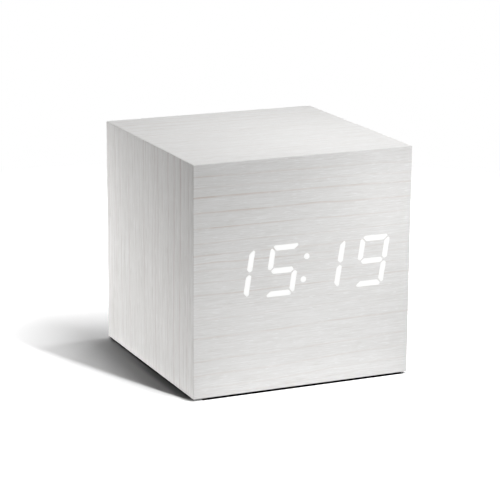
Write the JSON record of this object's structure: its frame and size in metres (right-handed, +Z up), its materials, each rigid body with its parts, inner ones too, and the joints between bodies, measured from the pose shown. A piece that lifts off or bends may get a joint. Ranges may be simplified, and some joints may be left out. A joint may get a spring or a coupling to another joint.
{
  "type": "led cube clock",
  "caption": "Cube-shaped desk clock with a light display shining through its white-washed wood veneer, keys and power socket at the back, battery bay underneath.",
  "frame": {"origin": "on the surface the clock stands on, under the middle of the case", "axes": "+Z up, the display faces -Y, the keys and the power socket face +Y, +X to the right of someone who reads the clock"},
  "size_m": [0.068, 0.068, 0.068],
  "materials": {
    "veneer_lengthwise": "white-washed wood veneer, grain running left to right, matt",
    "veneer_upright": "white-washed wood veneer, grain running up and down, matt",
    "board_core": "raw fibreboard",
    "lit_digits": "white light through the veneer",
    "film": "milky diffusing film",
    "reflector": "opaque white moulding",
    "light_bars": "clear cast resin",
    "light_chips": "yellow phosphor over a white chip",
    "circuit_board": "green lacquered circuit board",
    "spacer": "natural nylon",
    "screw": "zinc-plated steel",
    "chip": "black epoxy",
    "case_moulding": "pale warm grey moulding, fine matt texture",
    "key": "mid grey moulding, satin",
    "switch_body": "black moulding",
    "switch_cover": "tinned steel",
    "socket_shell": "nickel-plated steel",
    "socket_core": "black moulding",
    "gold_contact": "gold plating",
    "sounder": "black moulding",
    "can": "bright aluminium can",
    "capacitor": "dark blue sleeve",
    "bead": "dark dipped resin",
    "header": "cream moulding",
    "ribbon": "grey flat cable",
    "contact": "nickel-plated spring steel",
    "lead": "soft lead covering",
    "cell": "printed sleeve over a steel can",
    "foot": "soft dark foot"
  },
  "bodies": {
    "case": {"back_board": "board_core", "battery_contacts": "contact", "battery_leads": "lead", "battery_tray": "case_moulding", "bottom_board": "board_core", "buzzer": "sounder", "capacitor": "capacitor", "cell_1": "cell", "cell_2": "cell", "cell_3": "cell", "cell_4": "cell", "clock_chip": "chip", "control_panel": "case_moulding", "diffuser_film": "film", "display_board": "circuit_board", "display_screws": "screw", "display_spacers": "spacer", "driver_chip": "chip", "feet": "foot", "front_board": "board_core", "left_board": "board_core", "light_bars": "light_bars", "light_chips": "light_chips", "lit_digits": "lit_digits", "main_board": "circuit_board", "main_screws": "screw", "main_spacers": "spacer", "microphone": "can", "panel_screws": "screw", "quartz_can": "can", "reflector_block": "reflector", "ribbon_cable": "ribbon", "ribbon_headers": "header", "right_board": "board_core", "socket_contacts": "gold_contact", "socket_core": "socket_core", "socket_shell": "socket_shell", "switch_bases": "switch_body", "switch_covers": "switch_cover", "thermistor": "bead", "top_board": "board_core", "veneer_left": "veneer_upright", "veneer_right": "veneer_upright", "veneer_strip": "veneer_lengthwise"},
    "set_key": {"set_button": "key", "set_plunger": "switch_body"},
    "up_key": {"up_button": "key", "up_plunger": "switch_body"},
    "down_key": {"down_button": "key", "down_plunger": "switch_body"},
    "battery_door": {"battery_door": "case_moulding"}
  },
  "joints": [
    {"name": "set_key_press", "type": "slide", "parent": "case", "child": "set_key", "axis": [0, -1, 0], "range_m": [0, 0.0005], "stiffness_N_per_m": 400, "springref_m": -0.001},
    {"name": "up_key_press", "type": "slide", "parent": "case", "child": "up_key", "axis": [0, -1, 0], "range_m": [0, 0.0005], "stiffness_N_per_m": 400, "springref_m": -0.001},
    {"name": "down_key_press", "type": "slide", "parent": "case", "child": "down_key", "axis": [0, -1, 0], "range_m": [0, 0.0005], "stiffness_N_per_m": 400, "springref_m": -0.001},
    {"name": "battery_door_hinge", "type": "hinge", "parent": "case", "child": "battery_door", "pos_m": [0, -0.0244, 0.0014], "axis": [-1, 0, 0], "range_deg": [0, 75]}
  ]
}
